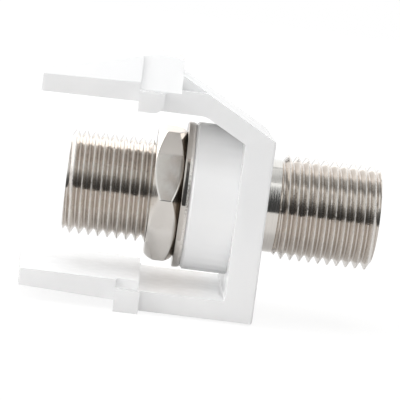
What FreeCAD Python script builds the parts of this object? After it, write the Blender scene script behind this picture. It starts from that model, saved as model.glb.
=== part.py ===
import FreeCAD, Part
import os
from math import cos, hypot, radians, sqrt, tan

# A snap-in wall-plate insert that carries a female-to-female F coaxial coupler.
# X runs along the coupler's axis towards the user's side of the plate, Z is up and Y is across.
# The origin is on the coupler's axis, in the plane of the insert's front face. Millimetres.

# Coupler body
thread_diameter = 9.46
thread_depth = 0.49
front_reach = 10.3
rear_reach = 17.8
end_chamfer = 0.5
front_relief_length = 2.05
rear_relief_length = 1.6
bore_diameter = 7.0
lip_thickness = 0.3
lip_width = 0.25
web_length = 4.0
web_hole_diameter = 4.4

# Hexagon of the coupler body, let into the front face; its flats lie inside the nut's by the inset
flange_inset = 0.3
flange_thickness = 2.0
flange_recess = 0.1
flange_chamfer = 0.35
pocket_clearance = 0.05

# Hex nut, and the washer, whose edge lies inside the nut's corners by its inset
nut_across_flats = 11.6
nut_thickness = 2.64
nut_chamfer_angle = 38.0
nut_chamfer_bite = 0.15
nut_thread_clearance = 0.02
nut_countersink = 0.4
washer_thickness = 0.68
washer_inset = 0.07
washer_hole_clearance = 0.2
washer_edge_radius = 0.12

# Insulators and centre contact
insulator_clearance = 0.02
insulator_wall = 1.0
entry_diameter = 1.6
entry_cone_diameter = 3.0
entry_cone_depth = 0.55
contact_diameter = 2.5
contact_wall = 0.22
contact_clearance = 0.05
contact_end_gap = 0.1
finger_length = 5.5
finger_slot = 0.3
throat_diameter = 0.8
throat_setback = 0.9
mouth_diameter = 1.25
taper_length = 2.2

# Moulded housing
housing_width = 14.5
face_height = 16.15
axis_height = 9.8
plate_thickness = 2.65
shoulder_angle = 28.3
shoulder_rise = 3.45
shoulder_wall = 1.72
top_band_thickness = 1.98
bottom_band_thickness = 1.75
band_corner_radius = 0.8
inner_corner_radius = 1.3
floor_corner_radius = 0.2
face_edge_radius = 0.2

# Rear arms, which stand a little higher than the bands; their ends are cut askew, longer on the +Y side
arm_end = 20.75
arm_root = 12.3
top_arm_skew = 0.4
top_arm_inner_step = 0.6
top_arm_root_thickness = 1.65
top_arm_end_thickness = 1.5
top_arm_droop = 0.15
bottom_arm_skew = 0.85
bottom_arm_front = 10.3
bottom_arm_step = 0.75
bottom_arm_root_thickness = 1.83
bottom_arm_end_thickness = 1.47

# Latch on top: tooth, catch block and tail ramp
tooth_width = 12.4
catch_front = 8.7
catch_crest = 10.9
catch_front_height = 2.5
catch_crest_height = 2.8
ramp_tip_height = 0.45
latch_bevel_angle = 45.0
latch_bevel_drop = 0.3

# Side lugs
lug_length = 2.2
lug_reach = 0.8
top_lug_height = 1.8
top_lug_drop = 0.4
bottom_lug_height = 2.0
bottom_lug_drop = 0.2
lug_corner_radius = 0.95

# Round boss behind the front plate
boss_diameter = 13.4
boss_rear = 6.87
boss_chamfer = 0.3
bore_clearance = 0.07

# Worked-out sizes and places
thread_radius = thread_diameter / 2
root_radius = thread_radius - thread_depth
pitch_radius = thread_radius - thread_depth / 2
bore_radius = bore_diameter / 2
nut_corner = nut_across_flats / sqrt(3)
washer_radius = nut_corner - washer_inset
flange_across_flats = nut_across_flats - 2 * flange_inset
flange_corner = flange_across_flats / sqrt(3)
flange_front = -flange_recess
flange_rear = flange_front - flange_thickness
washer_rear = -boss_rear - washer_thickness
nut_rear = washer_rear - nut_thickness
barrel_middle = (front_reach - rear_reach) / 2
front_web = barrel_middle + web_length / 2
rear_web = barrel_middle - web_length / 2
face_bottom = -axis_height
face_top = face_height - axis_height
half_width = housing_width / 2
band_top = face_top + shoulder_rise
top_arm_inner = band_top - top_band_thickness + top_arm_inner_step
top_arm_end_inner = top_arm_inner - top_arm_droop
top_arm_end_outer = top_arm_end_inner + top_arm_end_thickness
top_arm_length = arm_end + top_arm_skew
bottom_arm_length = arm_end + bottom_arm_skew
bottom_arm_top = face_bottom + bottom_band_thickness + bottom_arm_step
bottom_lug_top = face_bottom - bottom_lug_drop + bottom_lug_height
X_AXIS = FreeCAD.Vector(1, 0, 0)


def point(x, z):
    return FreeCAD.Vector(x, 0, z)


def rounded_wire(corners):
    """A closed wire in the XZ plane through (x, z, radius) corners, each with its own arc."""
    edges = []
    starts = []
    ends = []
    arcs = []
    count = len(corners)
    for i, (x, z, radius) in enumerate(corners):
        here = point(x, z)
        back = point(*corners[i - 1][:2]) - here
        ahead = point(*corners[(i + 1) % count][:2]) - here
        if radius == 0:
            starts.append(here)
            ends.append(here)
            arcs.append(None)
            continue
        back.normalize()
        ahead.normalize()
        half_angle = back.getAngle(ahead) / 2
        reach = radius / tan(half_angle)
        middle = back + ahead
        middle.normalize()
        depth = hypot(radius, reach) - radius
        starts.append(here + back * reach)
        ends.append(here + ahead * reach)
        arcs.append(here + middle * depth)
    for i in range(count):
        if arcs[i] is not None:
            edges.append(Part.Arc(starts[i], arcs[i], ends[i]).toShape())
        following = (i + 1) % count
        edges.append(Part.LineSegment(ends[i], starts[following]).toShape())
    return Part.Wire(edges)


def across(corners, width):
    """A prism of the given XZ outline, centred on the XZ plane."""
    face = Part.Face(rounded_wire(corners))
    face.translate(FreeCAD.Vector(0, -width / 2, 0))
    return face.extrude(FreeCAD.Vector(0, width, 0))


def turned(profile):
    """A solid of revolution about the X axis from (x, radius) points."""
    points = [point(x, radius) for x, radius in profile]
    wire = Part.makePolygon(points + points[:1])
    return Part.Face(wire).revolve(point(0, 0), X_AXIS, 360)


def cylinder(radius, x_low, x_high):
    return Part.makeCylinder(radius, x_high - x_low, point(x_low, 0), X_AXIS)


def hexagon(across_flats, x_low, x_high):
    """A hexagonal prism along X with flats above and below and corners to either side."""
    corner = across_flats / sqrt(3)
    points = []
    for i in range(7):
        angle = radians(60 * i)
        points.append(FreeCAD.Vector(x_low, corner * cos(angle), corner * cos(angle - radians(90))))
    return Part.Face(Part.makePolygon(points)).extrude(X_AXIS * (x_high - x_low))


def shoulder_height(x):
    """Height of the sloped shoulder's outer plane at a place along the axis."""
    return face_top - x * tan(radians(shoulder_angle))


def make_barrel():
    """Threads are plain at their outer radius, and at their middle radius where the nut's thread meshes."""
    thread_front = flange_front + front_relief_length
    thread_rear = flange_rear - rear_relief_length
    lip_radius = bore_radius - lip_width
    start_chamfer = thread_depth
    outside = turned([
        (-rear_reach, 0),
        (-rear_reach, thread_radius - end_chamfer),
        (-rear_reach + end_chamfer, thread_radius),
        (nut_rear, thread_radius),
        (nut_rear, pitch_radius),
        (washer_rear, pitch_radius),
        (washer_rear, thread_radius),
        (thread_rear - start_chamfer, thread_radius),
        (thread_rear, root_radius),
        (thread_front, root_radius),
        (thread_front + start_chamfer, thread_radius),
        (front_reach - end_chamfer, thread_radius),
        (front_reach, thread_radius - end_chamfer),
        (front_reach, 0),
    ])
    crown = turned([
        (flange_rear, 0),
        (flange_rear, flange_corner),
        (flange_front - flange_chamfer, flange_corner),
        (flange_front, flange_across_flats / 2),
        (flange_front, 0),
    ])
    flange = hexagon(flange_across_flats, flange_rear, flange_front).common(crown)
    body = outside.fuse(flange)
    hollows = [
        cylinder(lip_radius, -rear_reach, rear_web),
        cylinder(bore_radius, -rear_reach + lip_thickness, rear_web),
        cylinder(web_hole_diameter / 2, rear_web, front_web),
        cylinder(bore_radius, front_web, front_reach - lip_thickness),
        cylinder(lip_radius, front_web, front_reach),
    ]
    return body.cut(hollows).removeSplitter()


def make_nut():
    flat_ring = nut_across_flats / 2 - nut_chamfer_bite
    chamfer_depth = (nut_corner - flat_ring) * tan(radians(nut_chamfer_angle))
    crown = turned([
        (nut_rear, 0),
        (nut_rear, flat_ring),
        (nut_rear + chamfer_depth, nut_corner),
        (washer_rear - chamfer_depth, nut_corner),
        (washer_rear, flat_ring),
        (washer_rear, 0),
    ])
    hole = pitch_radius + nut_thread_clearance
    tapped = turned([
        (nut_rear, 0),
        (nut_rear, hole + nut_countersink),
        (nut_rear + nut_countersink, hole),
        (washer_rear - nut_countersink, hole),
        (washer_rear, hole + nut_countersink),
        (washer_rear, 0),
    ])
    return hexagon(nut_across_flats, nut_rear, washer_rear).common(crown).cut(tapped)


def make_washer():
    disc = cylinder(washer_radius, washer_rear, -boss_rear)
    rim = [e for e in disc.Edges if e.isClosed() and abs(e.CenterOfMass.x - washer_rear) < 1e-6]
    disc = disc.makeFillet(washer_edge_radius, rim)
    return disc.cut(cylinder(thread_radius + washer_hole_clearance, washer_rear, -boss_rear))


def make_insulator(inner_end, outer_end):
    """A bush between the barrel's web and its end lip, with a coned entry at the outer end."""
    way = 1 if outer_end > inner_end else -1
    inner = inner_end + way * insulator_clearance
    outer = outer_end - way * (lip_thickness + insulator_clearance)
    wall = outer - way * insulator_wall
    cone = outer - way * entry_cone_depth
    outside = bore_radius - insulator_clearance
    sleeve = contact_diameter / 2 + contact_clearance
    entry = entry_diameter / 2
    return turned([
        (inner, sleeve),
        (inner, outside),
        (outer, outside),
        (outer, entry_cone_diameter / 2),
        (cone, entry),
        (wall, entry),
        (wall, sleeve),
    ])


def make_contact():
    """A tube whose split ends close in to grip the centre conductors."""
    setback = lip_thickness + insulator_clearance + insulator_wall + contact_end_gap
    front = front_reach - setback
    rear = -rear_reach + setback
    outer = contact_diameter / 2
    throat = throat_diameter / 2 + contact_wall
    mouth = mouth_diameter / 2 + contact_wall

    def outline(thickness):
        return [
            (rear, mouth - thickness),
            (rear + throat_setback, throat - thickness),
            (rear + throat_setback + taper_length, outer - thickness),
            (front - throat_setback - taper_length, outer - thickness),
            (front - throat_setback, throat - thickness),
            (front, mouth - thickness),
        ]

    tube = turned(outline(0) + outline(contact_wall)[::-1])
    slots = []
    for low, high in ((rear, rear + finger_length), (front - finger_length, front)):
        for breadth, height in ((contact_diameter, finger_slot), (finger_slot, contact_diameter)):
            corner = FreeCAD.Vector(low, -breadth / 2, -height / 2)
            slots.append(Part.makeBox(high - low, breadth, height, corner))
    return tube.cut(slots)


def housing_outline():
    """The side profile that the whole moulding is drawn from, as (x, z, radius) corners."""
    slope = radians(shoulder_angle)
    inner_plane_drop = shoulder_wall / cos(slope)
    plate_rear = -plate_thickness
    top_inner = band_top - top_band_thickness
    inner_top_x = -(top_inner - face_top + inner_plane_drop) / tan(slope)
    inner_slope_low = shoulder_height(plate_rear) - inner_plane_drop
    floor = face_bottom + bottom_band_thickness
    return [
        (0, face_bottom, 0),
        (0, face_top, 0),
        (-shoulder_rise / tan(slope), band_top, band_corner_radius),
        (-arm_root, band_top, 0),
        (-arm_root, top_arm_inner + top_arm_root_thickness, 0),
        (-top_arm_length, top_arm_end_outer, 0),
        (-top_arm_length, top_arm_end_inner, 0),
        (-arm_root, top_arm_inner, 0),
        (-arm_root, top_inner, 0),
        (inner_top_x, top_inner, inner_corner_radius),
        (plate_rear, inner_slope_low, 0),
        (plate_rear, floor, floor_corner_radius),
        (-bottom_arm_front, floor, 0),
        (-bottom_arm_front, bottom_arm_top, 0),
        (-bottom_arm_length, bottom_arm_top, 0),
        (-bottom_arm_length, bottom_arm_top - bottom_arm_end_thickness, 0),
        (-arm_root, bottom_arm_top - bottom_arm_root_thickness, 0),
        (-arm_root, face_bottom, 0),
    ]


def make_latch():
    """Tail ramp and catch block, with sides that lean in, and the tooth in front of them."""
    root = band_top - top_band_thickness / 2
    ridge = across([
        (-top_arm_length, top_arm_end_outer + ramp_tip_height, 0),
        (-catch_crest, band_top + catch_crest_height, 0),
        (-catch_front, band_top + catch_front_height, 0),
        (-catch_front, root, 0),
        (-arm_root, root, 0),
        (-arm_root, top_arm_inner + top_arm_root_thickness / 2, 0),
        (-top_arm_length, top_arm_end_outer - top_arm_end_thickness / 2, 0),
    ], housing_width)
    bevel = tan(radians(latch_bevel_angle))
    crest = band_top + catch_crest_height
    inset = (crest - band_top) / bevel
    section = [
        (-half_width, top_arm_end_inner),
        (-half_width, band_top),
        (-half_width + inset, crest),
        (half_width - inset, crest),
        (half_width, band_top),
        (half_width, top_arm_end_inner),
        (-half_width, top_arm_end_inner),
    ]
    points = [FreeCAD.Vector(-top_arm_length, y, z) for y, z in section]
    envelope = Part.Face(Part.makePolygon(points)).extrude(X_AXIS * top_arm_length)
    ridge = ridge.common(envelope)
    tooth_start = -shoulder_rise / tan(radians(shoulder_angle)) + band_corner_radius
    tooth = across([
        (tooth_start, root, 0),
        (tooth_start, shoulder_height(tooth_start), 0),
        (-catch_front, shoulder_height(-catch_front), 0),
        (-catch_front, root, 0),
    ], tooth_width)
    return ridge.fuse(tooth)


def make_lugs():
    """Two lugs on each side, between the bands and the arms."""
    lug_front = lug_length - arm_root
    top_high = band_top - top_lug_drop
    top_low = top_high - top_lug_height
    bottom_low = bottom_lug_top - bottom_lug_height
    width = housing_width + 2 * lug_reach
    top = across([
        (-arm_root, top_low, 0),
        (-arm_root, top_high, 0),
        (lug_front, top_high, 0),
        (lug_front, top_low, lug_corner_radius),
    ], width)
    bottom = across([
        (-arm_root, bottom_low, 0),
        (-arm_root, bottom_lug_top, 0),
        (lug_front, bottom_lug_top, 0),
        (lug_front, bottom_low, 0),
    ], width)
    inside = Part.makeBox(
        4 * lug_length, housing_width, 2 * face_height,
        FreeCAD.Vector(-arm_root - lug_length, -half_width, -face_height),
    )
    return top.fuse(bottom).cut(inside)


def side_bevels(x_low, x_high, z_low, depth):
    """Prisms that take the upper edge off both sides, from a height upwards, at the latch's bevel angle."""
    inset = depth / tan(radians(latch_bevel_angle))
    prisms = []
    for side in (-1, 1):
        corners = [
            (side * half_width, z_low),
            (side * half_width, z_low + depth),
            (side * (half_width - inset), z_low + depth),
            (side * half_width, z_low),
        ]
        points = [FreeCAD.Vector(x_low, y, z) for y, z in corners]
        prisms.append(Part.Face(Part.makePolygon(points)).extrude(X_AXIS * (x_high - x_low)))
    return prisms


def askew_end(length, z_low, z_high):
    """The wedge that cuts an arm of that length back to arm_end on its -Y side."""
    corners = [(-length, -half_width), (-arm_end, -half_width), (-length, half_width), (-length, -half_width)]
    points = [FreeCAD.Vector(x, y, z_low) for x, y in corners]
    return Part.Face(Part.makePolygon(points)).extrude(FreeCAD.Vector(0, 0, z_high - z_low))


def make_housing():
    overlap = plate_thickness / 3
    boss = turned([
        (-boss_rear, 0),
        (-boss_rear, boss_diameter / 2 - boss_chamfer),
        (-boss_rear + boss_chamfer, boss_diameter / 2),
        (-plate_thickness + overlap, boss_diameter / 2),
        (-plate_thickness + overlap, 0),
    ])
    body = across(housing_outline(), housing_width)
    rim = [e for e in body.Edges if e.BoundBox.XMin > -1e-6]
    body = body.makeFillet(face_edge_radius, rim)
    body = body.fuse([boss, make_latch(), make_lugs()])
    pocket = hexagon(flange_across_flats + 2 * pocket_clearance, flange_rear, 0)
    hole = cylinder(thread_radius + bore_clearance, -boss_rear, 0)
    top_end = askew_end(top_arm_length, 0, face_height)
    bottom_end = askew_end(bottom_arm_length, -face_height, 0)
    bevel_low = band_top - latch_bevel_drop
    bevel_depth = latch_bevel_drop + 1.5 * catch_crest_height
    bevels = side_bevels(-arm_root, -catch_front, bevel_low, bevel_depth)
    bevels += side_bevels(-arm_root, -bottom_arm_front, bottom_lug_top, bottom_arm_top - bottom_lug_top)
    return body.cut([pocket, hole, top_end, bottom_end] + bevels).removeSplitter()


def main():
    os.makedirs("parts", exist_ok=True)
    parts = {
        "housing": make_housing(),
        "barrel": make_barrel(),
        "hex_nut": make_nut(),
        "washer": make_washer(),
        "front_insulator": make_insulator(front_web, front_reach),
        "rear_insulator": make_insulator(rear_web, -rear_reach),
        "centre_contact": make_contact(),
    }
    for name, shape in parts.items():
        box = shape.BoundBox
        print(
            f"{name}: {len(shape.Solids)} solid, valid {shape.isValid()}, volume {shape.Volume:.2f}, "
            f"x {box.XMin:.2f}..{box.XMax:.2f}, y {box.YMin:.2f}..{box.YMax:.2f}, "
            f"z {box.ZMin:.2f}..{box.ZMax:.2f}"
        )
        shape.exportStep(f"parts/{name}.step")


main()
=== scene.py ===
import math

import bmesh
import bpy
from mathutils import Matrix, Vector, noise


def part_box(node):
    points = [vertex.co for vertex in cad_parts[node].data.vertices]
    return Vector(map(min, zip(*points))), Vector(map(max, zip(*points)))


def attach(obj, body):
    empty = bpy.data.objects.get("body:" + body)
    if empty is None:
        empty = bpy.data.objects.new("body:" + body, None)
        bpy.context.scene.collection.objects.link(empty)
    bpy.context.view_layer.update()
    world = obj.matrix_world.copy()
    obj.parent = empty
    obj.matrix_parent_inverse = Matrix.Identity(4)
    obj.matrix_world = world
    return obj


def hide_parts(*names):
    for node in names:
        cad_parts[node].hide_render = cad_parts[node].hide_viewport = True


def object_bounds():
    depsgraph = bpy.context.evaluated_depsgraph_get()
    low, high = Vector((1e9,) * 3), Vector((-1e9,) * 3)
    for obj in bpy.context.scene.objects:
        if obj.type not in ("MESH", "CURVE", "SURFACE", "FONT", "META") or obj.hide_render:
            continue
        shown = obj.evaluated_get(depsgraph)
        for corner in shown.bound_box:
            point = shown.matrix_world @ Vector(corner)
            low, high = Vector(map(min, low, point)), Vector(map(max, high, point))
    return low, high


# Looks of a snap-in wall-plate insert with a plated coaxial coupler.
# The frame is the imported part's: X along the coupler, Z up, metres. Lengths below are in mm, times MM.
MM = 0.001

# Camera, from the photograph
CAMERA_PLACE = Vector((-12.7, -175.0, 21.2)) * MM
CAMERA_AIM = Vector((-5.66, 0.0, -0.33)) * MM
CAMERA_ROLL = math.radians(7.5)
CAMERA_LENS = 175.0
SENSOR_WIDTH = 36.0

# Meshes of turned parts, with the weld distance and the shortest edge of a face in metres
SEGMENTS = 144
WELD = 1e-7
SHORTEST_EDGE = 1e-9

# Threads
THREAD_RADIUS = 4.73
THREAD_PITCH = 0.855
THREAD_DEPTH = 0.57
THREAD_ROOT = THREAD_RADIUS - THREAD_DEPTH
CREST_SHARE = 0.08
ROOT_SHARE = 0.15
FLANK_STEPS = 4
SPARE_TURNS = 2
FRONT_CREST = 2.25
REAR_CREST = -17.0
FRONT_THREAD_START = 1.25
REAR_THREAD_START = -3.62
END_RADIUS = 4.13
END_SLOPE = 3.0
RUN_OUT_SLOPE = 1.0

# Unevenness of the threads: depth in mm, noise cells per metre, and how much shorter they are along X
RAGGED_DEPTH = 0.01
RAGGED_CELLS = 900
RAGGED_STRETCH = 1.7

# Rest of the coupler's body
RELIEF_RADIUS = 4.24
FLANGE_REAR = -2.1
FLANGE_FRONT = -0.1
FLANGE_CHAMFER = 0.35
BORE_RADIUS = 3.5
LIP_RADIUS = 3.25
LIP_THICKNESS = 0.3
WEB_HOLE_RADIUS = 2.2
WEB_FRONT = -1.75
WEB_REAR = -5.75

# Nut
NUT_CHAMFER_SLOPE = math.tan(math.radians(38.0))
NUT_CHAMFER_BITE = 0.15
NUT_HOLE_RADIUS = 4.505
NUT_COUNTERSINK = 0.4
NUT_ROUNDING = 0.09

# Washer: rolled over at its rear edge, then plain, then torn over a share of its thickness
WASHER_HOLE_RADIUS = 4.93
WASHER_ROLL = 0.13
ROLL_STEPS = 6
TEAR_SHARE = 0.36
TEAR_STEPS = 6

# The tear steps in, tapers and is ragged, all within its reach from the edge
TEAR_STEP = 0.01
TEAR_TAPER = 0.065
TEAR_RAGGED = 0.03
TEAR_REACH = 0.1
TEAR_CELLS = 2600
TEAR_STRETCH = 40

# Narrow rings beside the roll and the tear, which keep the shading of the plain stretch straight
PLAIN_MARGIN = 0.02

# Plastics and contact; cells are noise cells per metre along each axis, and grain is a depth in mm
HOUSING_COLOUR = (0.88, 0.883, 0.885)
HOUSING_TINTS = ((0.87, 0.874, 0.88), (0.89, 0.891, 0.892))
HOUSING_TINT_CELLS = (260, 260, 260)
HOUSING_ROUGHNESS = (0.15, 0.24)
HOUSING_ROUGHNESS_CELLS = (900, 900, 900)
HOUSING_GRAIN_CELLS = (3200, 3200, 3200)
HOUSING_GRAIN = 0.004
HOUSING_ROUNDING = 0.1
BUSH_COLOUR = (0.88, 0.87, 0.83)
BUSH_GRAIN_CELLS = (2500, 2500, 2500)
BUSH_GRAIN = 0.004
BUSH_ROUNDING = 0.04
CONTACT_COLOUR = (0.8, 0.66, 0.42)
CONTACT_MARKS = (9000, 600, 600)
CONTACT_DEPTH = 0.002

# Plate, and the tones that are blended into it
PLATE_COLOUR = (0.81, 0.775, 0.735)
PLATE_TINTS = ((0.78, 0.745, 0.705), (0.84, 0.805, 0.765))
PLATE_ROUGHNESS = (0.06, 0.16)
# Painted shade for the gap where the nut meets the washer: it darkens the nut's front chamfer, and the
# washer towards the nut
CREVICE_SHADE_TONE = (0.4, 0.36, 0.32)
# Painted shade in a thread's grooves and deeper in their floors, and a painted highlight on its crests
GROOVE_SHADE_TONE = (0.74, 0.7, 0.66)
GROOVE_FLOOR_SHADE_TONE = (0.68, 0.63, 0.585)
CREST_HIGHLIGHT_TONE = (0.94, 0.905, 0.87)

# Where painted shade begins and where it is full along X, and the same by radius for a thread's painted
# shade in its grooves and painted highlight on its crests
NUT_PAINTED_SHADE = (-8.0, -7.75)
WASHER_PAINTED_SHADE = (-6.4, -8.6)
GROOVE = (4.66, 4.4)
GROOVE_FLOOR = (4.3, 4.18)
CREST = (4.64, 4.7)

# Marks, grain and burrs on plate, in the same units
TURNED_MARKS = (9000, 300, 300)
NUT_MARKS = (700, 700, 700)
WASHER_MARKS = (1800, 1800, 1800)
GRAIN_CELLS = (7000, 7000, 7000)
BURR_CELLS = (5000, 5000, 5000)
BURR_ROUGHNESS = (0.2, 0.7)
BURR_DEPTH = 0.05

# Range that noise is taken to have
NOISE_RANGE = (0.3, 0.7)

# Curved panels about the X axis, which only reflections see
REFLECTOR_RADIUS = 400.0
REFLECTOR_STRIPS = 64
REFLECTOR_STRENGTH = 1.38
WARM = (1.0, 0.94, 0.89)
COOL = (0.93, 0.96, 0.97)
PLAIN = (1.0, 1.0, 1.0)

# What the plated parts mirror: a dark room, lit strips, a dim ceiling and a bright panel behind.
# There is one panel each for the rear thread, the nut, the washer, the collar and the front thread.
# A panel has its name, its two ends along X, and stops: degrees up from the camera's side, level, tint.
REFLECTORS = [
    ("rear_surroundings", (-1200, -3), [
        (-12, 0.05, COOL),
        (2, 0.07, COOL),
        (15, 0.16, COOL),
        (26, 0.4, COOL),
        (36, 0.72, COOL),
        (44, 0.7, COOL),
        (60, 0.58, COOL),
        (86, 0.51, COOL),
        (98, 0.4, COOL),
        (112, 1.0, PLAIN),
        (176, 1.0, PLAIN),
    ]),
    ("nut_surroundings", (-3, 3.8), [
        (-12, 0.05, COOL),
        (30, 0.05, COOL),
        (56, 0.45, WARM),
        (110, 0.45, WARM),
        (117.5, 0.85, WARM),
        (176, 0.85, WARM),
    ]),
    ("washer_surroundings", (3.8, 15), [
        (-12, 0.05, COOL),
        (56, 0.05, COOL),
        (61, 0.4, WARM),
        (85, 0.4, WARM),
        (104, 0.54, WARM),
        (117.5, 0.8, WARM),
        (176, 0.8, WARM),
    ]),
    ("middle_surroundings", (15, 41), [
        (-12, 0.05, COOL),
        (15, 0.02, COOL),
        (32, 0.02, COOL),
        (40, 0.1, COOL),
        (52, 0.5, COOL),
        (57, 0.9, COOL),
        (63.8, 0.9, COOL),
        (64.8, 0.4, COOL),
        (78, 0.46, COOL),
        (92, 0.6, COOL),
        (110, 0.66, COOL),
        (112.5, 0.42, COOL),
        (116, 0.42, COOL),
        (117.5, 0.82, COOL),
        (176, 0.85, COOL),
    ]),
    ("front_surroundings", (41, 1200), [
        (-12, 0.05, COOL),
        (2, 0.06, COOL),
        (14, 0.13, COOL),
        (24, 0.32, COOL),
        (36, 0.8, COOL),
        (50, 0.76, COOL),
        (66, 0.8, COOL),
        (79, 0.2, COOL),
        (88, 0.25, COOL),
        (94, 0.38, COOL),
        (104, 0.36, COOL),
        (118, 0.97, PLAIN),
        (135, 0.8, PLAIN),
        (176, 0.85, PLAIN),
    ]),
]

# Glowing white card between the top arm and the rear thread, which only reflections see; it paints a bright
# reflection on the rear thread's top, in place of the arm's shaded underside
CARD_X = (-22.0, -9.3)
CARD_Y = (0.5, 7.2)
CARD_Z = 7.7
CARD_GLOW_STRENGTH = 2.05

# Floor, just below the part
FLOOR_X = (-600, 600)
FLOOR_Y = (-57, 900)
FLOOR_DROP = 0.01
FLOOR_COLOUR = (0.82, 0.81, 0.8)

# How plain the floor is to the camera near the part and how bright, and the same for metal's reflections
FLOOR_CAMERA_SHARE = 0.84
FLOOR_CAMERA_STRENGTH = 1.07
FLOOR_METAL_SHARE = 0.5
FLOOR_METAL_STRENGTH = 0.68

# Distances from the origin over which the floor's shadows fade out
FLOOR_SHADOW_REACH = (30.0, 90.0)

# Light on the part
LAMP_AIM = (-5, 0, 0)
WORLD_FILL = 0.41


def to_mesh(bm, name):
    mesh = bpy.data.meshes.new(name)
    bm.to_mesh(mesh)
    bm.free()
    return mesh


def finish_mesh(bm, name, sharp_angle):
    """Welds and cleans the mesh, turns its faces outwards and keeps edges above that many degrees sharp."""
    bmesh.ops.remove_doubles(bm, verts=bm.verts, dist=WELD)
    bmesh.ops.dissolve_degenerate(bm, edges=bm.edges, dist=WELD)
    bmesh.ops.recalc_face_normals(bm, faces=bm.faces)
    for face in bm.faces:
        face.smooth = True
    for edge in bm.edges:
        if len(edge.link_faces) == 2 and edge.calc_face_angle() > math.radians(sharp_angle):
            edge.smooth = False
    return to_mesh(bm, name)


def link_object(name, data):
    obj = bpy.data.objects.new(name, data)
    bpy.context.scene.collection.objects.link(obj)
    return obj


def new_object(name, mesh, material):
    """An object of that mesh and material, riding on the one body."""
    mesh.materials.append(material)
    obj = link_object(name, mesh)
    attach(obj, "root")
    return obj


def stage_object(name, mesh, material):
    """An object of that mesh and material, which isn't part of the insert."""
    mesh.materials.append(material)
    obj = link_object(name, mesh)
    return obj


def only_for_reflections(obj):
    obj.visible_camera = False
    obj.visible_diffuse = False
    obj.visible_shadow = False
    obj.visible_transmission = False


def around(index):
    return 2 * math.pi * index / SEGMENTS


def on_circle(x, radius, angle):
    """A point in mm at that radius; angle 0 is +Y and a quarter turn is +Z."""
    return Vector((x, radius * math.cos(angle), radius * math.sin(angle))) * MM


def hexagon_radius(across_flats, angle):
    """Distance from the axis to a hexagon with corners towards +Y and -Y."""
    turn = angle % (math.pi / 3) - math.pi / 6
    return across_flats / 2 / math.cos(turn)


def add_rings(bm, rings):
    """Bridges rings given as (x, radius) in mm, where either may be a function of the angle."""
    rows = []
    for ring in rings:
        row = []
        for i in range(SEGMENTS):
            angle = around(i)
            x, radius = (value(angle) if callable(value) else value for value in ring)
            row.append(bm.verts.new(on_circle(x, radius, angle)))
        rows.append(row)
    for low, high in zip(rows, rows[1:]):
        for i in range(SEGMENTS):
            k = (i + 1) % SEGMENTS
            bm.faces.new((low[i], low[k], high[k], high[i]))


def thread_height(phase):
    """Share of the thread's depth at a phase in turns from a crest's middle."""
    gap = abs((phase + 0.5) % 1 - 0.5)
    flank = 0.5 - CREST_SHARE / 2 - ROOT_SHARE / 2
    return min(1.0, max(0.0, 1 - (gap - CREST_SHARE / 2) / flank))


def thread_radius(x, phase, angle):
    """Radius of the slightly ragged thread at a phase in turns from a crest's middle."""
    radius = THREAD_ROOT + THREAD_DEPTH * thread_height(phase)
    place = on_circle(x * RAGGED_STRETCH, radius, angle)
    return radius + RAGGED_DEPTH * noise.noise(place * RAGGED_CELLS)


def thread_steps():
    """Places across one turn, from one crest's middle to the next, at which the thread has a vertex."""
    start = CREST_SHARE / 2
    width = 0.5 - start - ROOT_SHARE / 2
    flank = [start + width * k / FLANK_STEPS for k in range(FLANK_STEPS + 1)]
    return [0] + flank + [0.5] + [1 - step for step in reversed(flank)]


def add_thread(bm, x_low, x_high, crest_x, low_cone, high_cone):
    """A right-hand thread from x_low to x_high, whose crest passes crest_x at the bottom.
    It rises out of a cone at each end, given as its (radius, slope).
    Its faces have the second material."""
    steps = thread_steps()
    first = math.floor((x_low - crest_x) / THREAD_PITCH) - SPARE_TURNS
    last = math.ceil((x_high - crest_x) / THREAD_PITCH) + SPARE_TURNS
    columns = []
    for i in range(SEGMENTS + 1):
        angle = around(i) - math.pi
        lead = (angle + math.pi / 2) / (2 * math.pi)
        column = []
        for turn in range(first, last):
            for step in steps:
                x = crest_x + (turn + step + lead) * THREAD_PITCH
                x = min(max(x, x_low), x_high)
                phase = (x - crest_x) / THREAD_PITCH - lead
                low_limit = low_cone[0] + low_cone[1] * (x - x_low)
                high_limit = high_cone[0] + high_cone[1] * (x_high - x)
                radius = min(thread_radius(x, phase, angle), low_limit, high_limit)
                column.append(bm.verts.new(on_circle(x, radius, angle)))
        columns.append(column)
    for left, right in zip(columns, columns[1:]):
        for j in range(len(left) - 1):
            corners = (left[j], right[j], right[j + 1], left[j + 1])
            if any((a.co - b.co).length > SHORTEST_EDGE for a, b in zip(corners, corners[1:])):
                bm.faces.new(corners).material_index = 1


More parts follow.
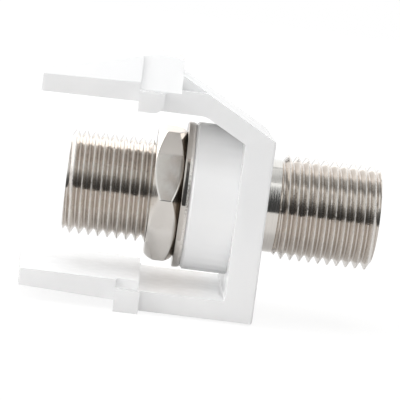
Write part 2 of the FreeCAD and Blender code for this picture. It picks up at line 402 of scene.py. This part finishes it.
def make_barrel(material, thread_material):
    """The turned body with real threads, its hexagon and its bore."""
    low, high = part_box("barrel")
    x_rear, x_front, corner = low.x / MM, high.x / MM, high.y / MM
    flats = corner * math.sqrt(3)
    free_end = (END_RADIUS, END_SLOPE)
    run_out = (THREAD_ROOT, RUN_OUT_SLOPE)

    def hexagon(angle):
        return hexagon_radius(flats, angle)

    def crown(angle):
        return min(hexagon(angle), flats / 2)

    bm = bmesh.new()
    add_thread(bm, FRONT_THREAD_START, x_front, FRONT_CREST, run_out, free_end)
    add_thread(bm, x_rear, REAR_THREAD_START, REAR_CREST, free_end, run_out)
    add_rings(bm, [
        (REAR_THREAD_START, THREAD_ROOT),
        (REAR_THREAD_START, RELIEF_RADIUS),
        (FLANGE_REAR, RELIEF_RADIUS),
        (FLANGE_REAR, hexagon),
        (FLANGE_FRONT - FLANGE_CHAMFER, hexagon),
        (FLANGE_FRONT, crown),
        (FLANGE_FRONT, RELIEF_RADIUS),
        (FRONT_THREAD_START, RELIEF_RADIUS),
        (FRONT_THREAD_START, THREAD_ROOT),
    ])
    add_rings(bm, [
        (x_rear, END_RADIUS),
        (x_rear, LIP_RADIUS),
        (x_rear + LIP_THICKNESS, LIP_RADIUS),
        (x_rear + LIP_THICKNESS, BORE_RADIUS),
        (WEB_REAR, BORE_RADIUS),
        (WEB_REAR, WEB_HOLE_RADIUS),
        (WEB_FRONT, WEB_HOLE_RADIUS),
        (WEB_FRONT, BORE_RADIUS),
        (x_front - LIP_THICKNESS, BORE_RADIUS),
        (x_front - LIP_THICKNESS, LIP_RADIUS),
        (x_front, LIP_RADIUS),
        (x_front, END_RADIUS),
    ])
    mesh = finish_mesh(bm, "threaded_barrel", sharp_angle=25)
    barrel = new_object("threaded_barrel", mesh, material)
    mesh.materials.append(thread_material)
    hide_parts("barrel")


def make_nut(material):
    """The hex nut, its corners cut by a cone at each end."""
    low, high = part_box("hex_nut")
    x_rear, x_front, corner = low.x / MM, high.x / MM, high.y / MM
    flats = corner * math.sqrt(3)
    ring = flats / 2 - NUT_CHAMFER_BITE

    def hexagon(angle):
        return hexagon_radius(flats, angle)

    def from_rear(angle):
        return x_rear + (hexagon(angle) - ring) * NUT_CHAMFER_SLOPE

    def from_front(angle):
        return x_front - (hexagon(angle) - ring) * NUT_CHAMFER_SLOPE

    bm = bmesh.new()
    add_rings(bm, [
        (x_rear + NUT_COUNTERSINK, NUT_HOLE_RADIUS),
        (x_rear, NUT_HOLE_RADIUS + NUT_COUNTERSINK),
        (x_rear, ring),
        (from_rear, hexagon),
        (from_front, hexagon),
        (x_front, ring),
        (x_front, NUT_HOLE_RADIUS + NUT_COUNTERSINK),
        (x_front - NUT_COUNTERSINK, NUT_HOLE_RADIUS),
        (x_rear + NUT_COUNTERSINK, NUT_HOLE_RADIUS),
    ])
    mesh = finish_mesh(bm, "plated_hex_nut", sharp_angle=20)
    nut = new_object("plated_hex_nut", mesh, material)
    soften(nut, NUT_ROUNDING, sharp_angle=20)
    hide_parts("hex_nut")


def make_washer(material, torn_material):
    """A punched washer: rolled over at the rear edge, torn towards the front edge."""
    low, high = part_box("washer")
    x_rear, x_front, edge = low.x / MM, high.x / MM, high.z / MM
    torn_start = x_front - (x_front - x_rear) * TEAR_SHARE

    def torn(depth):
        def radius(angle):
            rough = noise.noise(on_circle(depth * TEAR_STRETCH, edge, angle) * TEAR_CELLS)
            return edge - TEAR_STEP - TEAR_TAPER * depth - TEAR_RAGGED * rough
        return radius

    rings = [(x_rear, WASHER_HOLE_RADIUS)]
    for k in reversed(range(ROLL_STEPS + 1)):
        turn = math.pi / 2 * k / ROLL_STEPS
        inwards = WASHER_ROLL * (1 - math.cos(turn))
        rings.append((x_rear + WASHER_ROLL * (1 - math.sin(turn)), edge - inwards))
    rings.append((x_rear + WASHER_ROLL + PLAIN_MARGIN, edge))
    rings.append((torn_start - PLAIN_MARGIN, edge))
    rings.append((torn_start, edge))
    for k in range(1, TEAR_STEPS + 1):
        share = k / TEAR_STEPS
        rings.append((torn_start + (x_front - torn_start) * share, torn(share)))
    rings.append((x_front, WASHER_HOLE_RADIUS))
    rings.append((x_rear, WASHER_HOLE_RADIUS))
    bm = bmesh.new()
    add_rings(bm, rings)
    mesh = finish_mesh(bm, "punched_washer", sharp_angle=50)
    washer = new_object("punched_washer", mesh, material)
    mesh.materials.append(torn_material)
    for face in mesh.polygons:
        near_edge = face.center.yz.length > (edge - TEAR_REACH) * MM
        if near_edge and face.center.x > torn_start * MM:
            face.material_index = 1
    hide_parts("washer")


def soften(obj, width, sharp_angle=30):
    """Rounds a node's sharp edges a little, as moulding, plating or deburring does."""
    weld = obj.modifiers.new("weld", "WELD")
    weld.merge_threshold = WELD
    flat = obj.modifiers.new("flat", "DECIMATE")
    flat.decimate_type = "DISSOLVE"
    flat.angle_limit = math.radians(0.5)
    bevel = obj.modifiers.new("bevel", "BEVEL")
    bevel.width = width * MM
    bevel.segments = 3
    bevel.limit_method = "ANGLE"
    bevel.angle_limit = math.radians(sharp_angle)
    bevel.harden_normals = True


def dress(name, material, rounding=None):
    """Gives a carried-over node its material and, where asked, rounded edges."""
    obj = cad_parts[name]
    obj.data.materials.clear()
    obj.data.materials.append(material)
    if rounding:
        soften(obj, rounding)


def new_material(name, colour, roughness, metallic=0.0):
    """A material with a Principled shader; returns it with its node tree and shader."""
    material = bpy.data.materials.new(name)
    material.use_nodes = True
    tree = material.node_tree
    shader = tree.nodes["Principled BSDF"]
    shader.inputs["Base Color"].default_value = (*colour, 1)
    shader.inputs["Roughness"].default_value = roughness
    shader.inputs["Metallic"].default_value = metallic
    return material, tree, shader


def feed(tree, socket, value):
    """Gives a socket a plain number or another node's output."""
    if isinstance(value, (int, float)):
        socket.default_value = value
    else:
        tree.links.new(value, socket)


def calculate(tree, operation, *values):
    """The result of a maths node on numbers or outputs."""
    node = tree.nodes.new("ShaderNodeMath")
    node.operation = operation
    for socket, value in zip(node.inputs, values):
        feed(tree, socket, value)
    return node.outputs["Value"]


def map_range(tree, value, start, end, low=0.0, high=1.0):
    """Maps a value between start and end to the range from low to high, and no further."""
    node = tree.nodes.new("ShaderNodeMapRange")
    feed(tree, node.inputs["From Min"], start)
    feed(tree, node.inputs["From Max"], end)
    feed(tree, node.inputs["To Min"], low)
    feed(tree, node.inputs["To Max"], high)
    tree.links.new(value, node.inputs["Value"])
    return node.outputs["Result"]


def spread(tree, value, low, high):
    """Maps a noise value to the range from low to high."""
    return map_range(tree, value, *NOISE_RANGE, low, high)


def object_place(tree):
    """The place in object coordinates, in metres."""
    return tree.nodes.new("ShaderNodeTexCoord").outputs["Object"]


def place_along(tree, axis):
    """The place along one axis, as a value."""
    split = tree.nodes.new("ShaderNodeSeparateXYZ")
    tree.links.new(object_place(tree), split.inputs["Vector"])
    return split.outputs[axis]


def length_of(tree, vector):
    """The length of a vector, as a value."""
    node = tree.nodes.new("ShaderNodeVectorMath")
    node.operation = "LENGTH"
    tree.links.new(vector, node.inputs[0])
    return node.outputs["Value"]


def from_axis(tree):
    """The distance from the X axis, as a value."""
    flatten = tree.nodes.new("ShaderNodeVectorMath")
    flatten.operation = "MULTIPLY"
    flatten.inputs[1].default_value = (0, 1, 1)
    tree.links.new(object_place(tree), flatten.inputs[0])
    return length_of(tree, flatten.outputs["Vector"])


def stretched_noise(tree, cells, detail=4.0):
    """Noise in object coordinates with its own number of cells per metre along each axis."""
    mapping = tree.nodes.new("ShaderNodeMapping")
    mapping.inputs["Scale"].default_value = cells
    texture = tree.nodes.new("ShaderNodeTexNoise")
    texture.inputs["Scale"].default_value = 1.0
    texture.inputs["Detail"].default_value = detail
    tree.links.new(object_place(tree), mapping.inputs["Vector"])
    tree.links.new(mapping.outputs["Vector"], texture.inputs["Vector"])
    return texture.outputs["Fac"]


def ramp(tree, value, stops):
    """A colour ramp over that value, from (position, colour) stops."""
    node = tree.nodes.new("ShaderNodeValToRGB")
    elements = node.color_ramp.elements
    while len(elements) < len(stops):
        elements.new(0.5)
    for element, (position, colour) in zip(elements, stops):
        element.position = position
        element.color = (*colour, 1)
    tree.links.new(value, node.inputs["Fac"])
    return node.outputs["Color"]


def blend(tree, colour, place, start, end, tone):
    """Blends a tone into a colour between two places in mm, with none at the first and all at the second."""
    mix = tree.nodes.new("ShaderNodeMix")
    mix.data_type = "RGBA"
    mix.inputs["B"].default_value = (*tone, 1)
    tree.links.new(map_range(tree, place, start * MM, end * MM), mix.inputs["Factor"])
    tree.links.new(colour, mix.inputs["A"])
    return mix.outputs["Result"]


def add_bump(tree, shader, height, depth, share=None):
    """Bump of that depth in mm from a height between 0 and 1, on top of any bump that is there.
    The share, a value between 0 and 1, weakens it where it is small."""
    node = tree.nodes.new("ShaderNodeBump")
    node.inputs["Distance"].default_value = depth * MM
    if share is not None:
        tree.links.new(share, node.inputs["Strength"])
    tree.links.new(height, node.inputs["Height"])
    for link in shader.inputs["Normal"].links:
        tree.links.new(link.from_socket, node.inputs["Normal"])
    tree.links.new(node.outputs["Normal"], shader.inputs["Normal"])


def plastic_material():
    """Satin white moulding with a faint unevenness of tint and shine."""
    material, tree, shader = new_material("white_plastic", HOUSING_COLOUR, roughness=0.2)
    tint = stretched_noise(tree, HOUSING_TINT_CELLS, detail=2.0)
    colour = ramp(tree, tint, list(zip(NOISE_RANGE, HOUSING_TINTS)))
    roughness = spread(tree, stretched_noise(tree, HOUSING_ROUGHNESS_CELLS), *HOUSING_ROUGHNESS)
    tree.links.new(colour, shader.inputs["Base Color"])
    tree.links.new(roughness, shader.inputs["Roughness"])
    shader.inputs["Subsurface Weight"].default_value = 0.15
    shader.inputs["Subsurface Radius"].default_value = (1.0, 1.0, 1.0)
    shader.inputs["Subsurface Scale"].default_value = 2.0 * MM
    add_bump(tree, shader, stretched_noise(tree, HOUSING_GRAIN_CELLS), HOUSING_GRAIN)
    return material


def insulator_material():
    material, tree, shader = new_material("insulator", BUSH_COLOUR, roughness=0.45)
    add_bump(tree, shader, stretched_noise(tree, BUSH_GRAIN_CELLS), BUSH_GRAIN)
    return material


def contact_material():
    material, tree, shader = new_material("contact", CONTACT_COLOUR, roughness=0.2, metallic=1.0)
    add_bump(tree, shader, stretched_noise(tree, CONTACT_MARKS), CONTACT_DEPTH)
    return material


def plated_material(name, cells, depth, roughness=PLATE_ROUGHNESS, painted_shade=None, grain=0.0, threaded=False):
    """Bright nickel plate with fine tool marks, from their cells per metre and their depth in mm.
    A painted shade darkens it between two places along X, where the nut and washer meet. A grain roughens it
    evenly, to that depth in mm.
    On a thread, painted shade darkens the grooves and their floors, and a painted highlight lightens the
    crests, with rough specks and burrs."""
    material, tree, shader = new_material(name, PLATE_COLOUR, roughness=0.1, metallic=1.0)
    marks = stretched_noise(tree, cells, detail=5.0)
    colour = ramp(tree, marks, list(zip(NOISE_RANGE, PLATE_TINTS)))
    shine = spread(tree, marks, *roughness)
    add_bump(tree, shader, marks, depth)
    # Painted shade: darker between two places along X, towards the gap between nut and washer
    if painted_shade:
        colour = blend(tree, colour, place_along(tree, "X"), *painted_shade, CREVICE_SHADE_TONE)
    if grain:
        add_bump(tree, shader, stretched_noise(tree, GRAIN_CELLS), grain)
    if threaded:
        radius = from_axis(tree)
        # Painted shade in the grooves and their floors, and a painted highlight on the crests
        colour = blend(tree, colour, radius, *GROOVE, GROOVE_SHADE_TONE)
        colour = blend(tree, colour, radius, *GROOVE_FLOOR, GROOVE_FLOOR_SHADE_TONE)
        colour = blend(tree, colour, radius, *CREST, CREST_HIGHLIGHT_TONE)
        burrs = stretched_noise(tree, BURR_CELLS)
        specks = spread(tree, burrs, *BURR_ROUGHNESS)
        worn = map_range(tree, radius, CREST[0] * MM, CREST[1] * MM, 0.0, specks)
        shine = calculate(tree, "MAXIMUM", shine, worn)
        add_bump(tree, shader, burrs, BURR_DEPTH, share=worn)
    tree.links.new(colour, shader.inputs["Base Color"])
    tree.links.new(shine, shader.inputs["Roughness"])
    return material


def glow_material(name, stops):
    """A panel's glow by its angle about the X axis, from (degrees, level, tint) stops."""
    material = bpy.data.materials.new(name)
    material.use_nodes = True
    tree = material.node_tree
    tree.nodes.clear()
    low, high = stops[0][0], stops[-1][0]
    towards_camera = calculate(tree, "MULTIPLY", place_along(tree, "Y"), -1)
    angle = calculate(tree, "ARCTAN2", place_along(tree, "Z"), towards_camera)
    share = map_range(tree, angle, math.radians(low), math.radians(high))
    colours = []
    for degrees, level, tint in stops:
        position = (degrees - low) / (high - low)
        colours.append((position, [level * part for part in tint]))
    glow = tree.nodes.new("ShaderNodeEmission")
    glow.inputs["Strength"].default_value = REFLECTOR_STRENGTH
    output = tree.nodes.new("ShaderNodeOutputMaterial")
    tree.links.new(ramp(tree, share, colours), glow.inputs["Color"])
    tree.links.new(glow.outputs["Emission"], output.inputs["Surface"])
    return material


def make_reflector(name, ends, stops):
    """A curved panel between two places along X, spanning the stops' angles."""
    low, high = stops[0][0], stops[-1][0]
    rows = []
    bm = bmesh.new()
    for k in range(REFLECTOR_STRIPS + 1):
        angle = math.radians(low + (high - low) * k / REFLECTOR_STRIPS)
        y = -REFLECTOR_RADIUS * math.cos(angle)
        z = REFLECTOR_RADIUS * math.sin(angle)
        rows.append([bm.verts.new(Vector((x, y, z)) * MM) for x in ends])
    for a, b in zip(rows, rows[1:]):
        bm.faces.new((a[0], a[1], b[1], b[0]))
    only_for_reflections(stage_object(name, to_mesh(bm, name), glow_material(name, stops)))


def flat_sheet(name, x_ends, y_ends, z):
    """A level rectangle, from its two ends along X and along Y and its height."""
    x_low, x_high = x_ends
    y_low, y_high = y_ends
    corners = [(x_low, y_low), (x_high, y_low), (x_high, y_high), (x_low, y_high)]
    bm = bmesh.new()
    bm.faces.new([bm.verts.new(Vector((x, y, z)) * MM) for x, y in corners])
    return to_mesh(bm, name)


def make_glowing_card():
    # A glowing sheet, for a painted reflection on the top of the rear thread
    material, _, shader = new_material("card", (0, 0, 0), roughness=1.0)
    shader.inputs["Emission Color"].default_value = (1, 1, 1, 1)
    shader.inputs["Emission Strength"].default_value = CARD_GLOW_STRENGTH
    only_for_reflections(stage_object("card", flat_sheet("card", CARD_X, CARD_Y, CARD_Z), material))


def floor_material():
    """Pale floor: most of what the camera sees is plain white, so that only a faint shadow shows.
    Metal sees it half as plain and half as lit."""
    material, tree, shader = new_material("floor", FLOOR_COLOUR, roughness=0.8)
    shader.inputs["Specular IOR Level"].default_value = 0.0
    start, end = FLOOR_SHADOW_REACH
    away = length_of(tree, object_place(tree))
    camera_share = map_range(tree, away, start * MM, end * MM, FLOOR_CAMERA_SHARE, 1.0)
    rays = tree.nodes.new("ShaderNodeLightPath")
    camera, metal = rays.outputs["Is Camera Ray"], rays.outputs["Is Glossy Ray"]
    metal_share = calculate(tree, "MULTIPLY", metal, FLOOR_METAL_SHARE)
    metal_strength = calculate(tree, "MULTIPLY", metal, FLOOR_METAL_STRENGTH)
    share = calculate(tree, "MULTIPLY_ADD", camera, camera_share, metal_share)
    strength = calculate(tree, "MULTIPLY_ADD", camera, FLOOR_CAMERA_STRENGTH, metal_strength)
    plain = tree.nodes.new("ShaderNodeEmission")
    mix = tree.nodes.new("ShaderNodeMixShader")
    tree.links.new(strength, plain.inputs["Strength"])
    tree.links.new(share, mix.inputs["Fac"])
    tree.links.new(shader.outputs["BSDF"], mix.inputs[1])
    tree.links.new(plain.outputs["Emission"], mix.inputs[2])
    tree.links.new(mix.outputs["Shader"], tree.nodes["Material Output"].inputs["Surface"])
    return material


def make_floor():
    height = CAD_BOX[0].z / MM - FLOOR_DROP
    stage_object("floor", flat_sheet("floor", FLOOR_X, FLOOR_Y, height), floor_material())


def add_area(name, place, size, power):
    light = bpy.data.lights.new(name, "AREA")
    light.shape = "RECTANGLE"
    light.size = size[0] * MM
    light.size_y = size[1] * MM
    light.energy = power
    obj = link_object(name, light)
    obj.location = Vector(place) * MM
    obj.rotation_mode = "QUATERNION"
    obj.rotation_quaternion = (Vector(LAMP_AIM) * MM - obj.location).to_track_quat("-Z", "Y")
    obj.visible_glossy = False


def make_lights():
    """Soft lamps that no reflection shows."""
    add_area("overhead", place=(-40, 30, 420), size=(420, 420), power=1.15)
    add_area("behind", place=(-30, 380, 210), size=(520, 260), power=0.1)
    add_area("front", place=(-20, -400, 60), size=(420, 260), power=0.33)
    add_area("left_fill", place=(-380, -60, 140), size=(260, 320), power=1.05)
    add_area("right_fill", place=(320, -220, 140), size=(260, 320), power=0.08)


def white_background(tree, strength):
    node = tree.nodes.new("ShaderNodeBackground")
    node.inputs["Color"].default_value = (1, 1, 1, 1)
    node.inputs["Strength"].default_value = strength
    return node.outputs["Background"]


def make_world():
    """White to the camera and in reflections, and a plain soft fill for everything else."""
    world = bpy.data.worlds.new("studio")
    bpy.context.scene.world = world
    world.use_nodes = True
    tree = world.node_tree
    tree.nodes.clear()
    rays = tree.nodes.new("ShaderNodeLightPath")
    seen = calculate(tree, "MAXIMUM", rays.outputs["Is Camera Ray"], rays.outputs["Is Glossy Ray"])
    mix = tree.nodes.new("ShaderNodeMixShader")
    output = tree.nodes.new("ShaderNodeOutputWorld")
    tree.links.new(seen, mix.inputs["Fac"])
    tree.links.new(white_background(tree, WORLD_FILL), mix.inputs[1])
    tree.links.new(white_background(tree, 1.0), mix.inputs[2])
    tree.links.new(mix.outputs["Shader"], output.inputs["Surface"])


def make_camera():
    camera = bpy.data.cameras.new("camera")
    camera.lens = CAMERA_LENS
    camera.sensor_width = SENSOR_WIDTH
    camera.clip_start = 0.01
    camera.clip_end = 5
    obj = link_object("camera", camera)
    turn = (CAMERA_AIM - CAMERA_PLACE).to_track_quat("-Z", "Y").to_matrix().to_4x4()
    obj.matrix_world = Matrix.Translation(CAMERA_PLACE) @ turn @ Matrix.Rotation(CAMERA_ROLL, 4, "Z")
    bpy.context.scene.camera = obj


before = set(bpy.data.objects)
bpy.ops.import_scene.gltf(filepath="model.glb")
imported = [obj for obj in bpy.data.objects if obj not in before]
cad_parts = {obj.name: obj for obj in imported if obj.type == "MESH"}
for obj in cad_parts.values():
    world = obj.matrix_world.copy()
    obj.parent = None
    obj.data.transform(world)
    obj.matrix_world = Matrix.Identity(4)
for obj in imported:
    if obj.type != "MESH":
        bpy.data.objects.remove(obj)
CAD_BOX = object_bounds()
bpy.context.scene.view_settings.view_transform = "Standard"

bushes = insulator_material()
dress("housing", plastic_material(), rounding=HOUSING_ROUNDING)
dress("front_insulator", bushes, rounding=BUSH_ROUNDING)
dress("rear_insulator", bushes, rounding=BUSH_ROUNDING)
dress("centre_contact", contact_material())
make_barrel(
    plated_material("plated_body", TURNED_MARKS, depth=0.003, grain=0.002),
    plated_material("plated_thread", TURNED_MARKS, depth=0.003, grain=0.006, threaded=True),
)
make_nut(plated_material("plated_nut", NUT_MARKS, depth=0.002, painted_shade=NUT_PAINTED_SHADE))
make_washer(
    plated_material("plated_washer", WASHER_MARKS, depth=0.001, roughness=(0.03, 0.07), painted_shade=WASHER_PAINTED_SHADE),
    plated_material("torn_washer_edge", WASHER_MARKS, depth=0.006, roughness=(0.06, 0.3), grain=0.06),
)
for panel_name, panel_ends, panel_stops in REFLECTORS:
    make_reflector(panel_name, panel_ends, panel_stops)
make_glowing_card()
make_floor()
make_lights()
make_world()
make_camera()
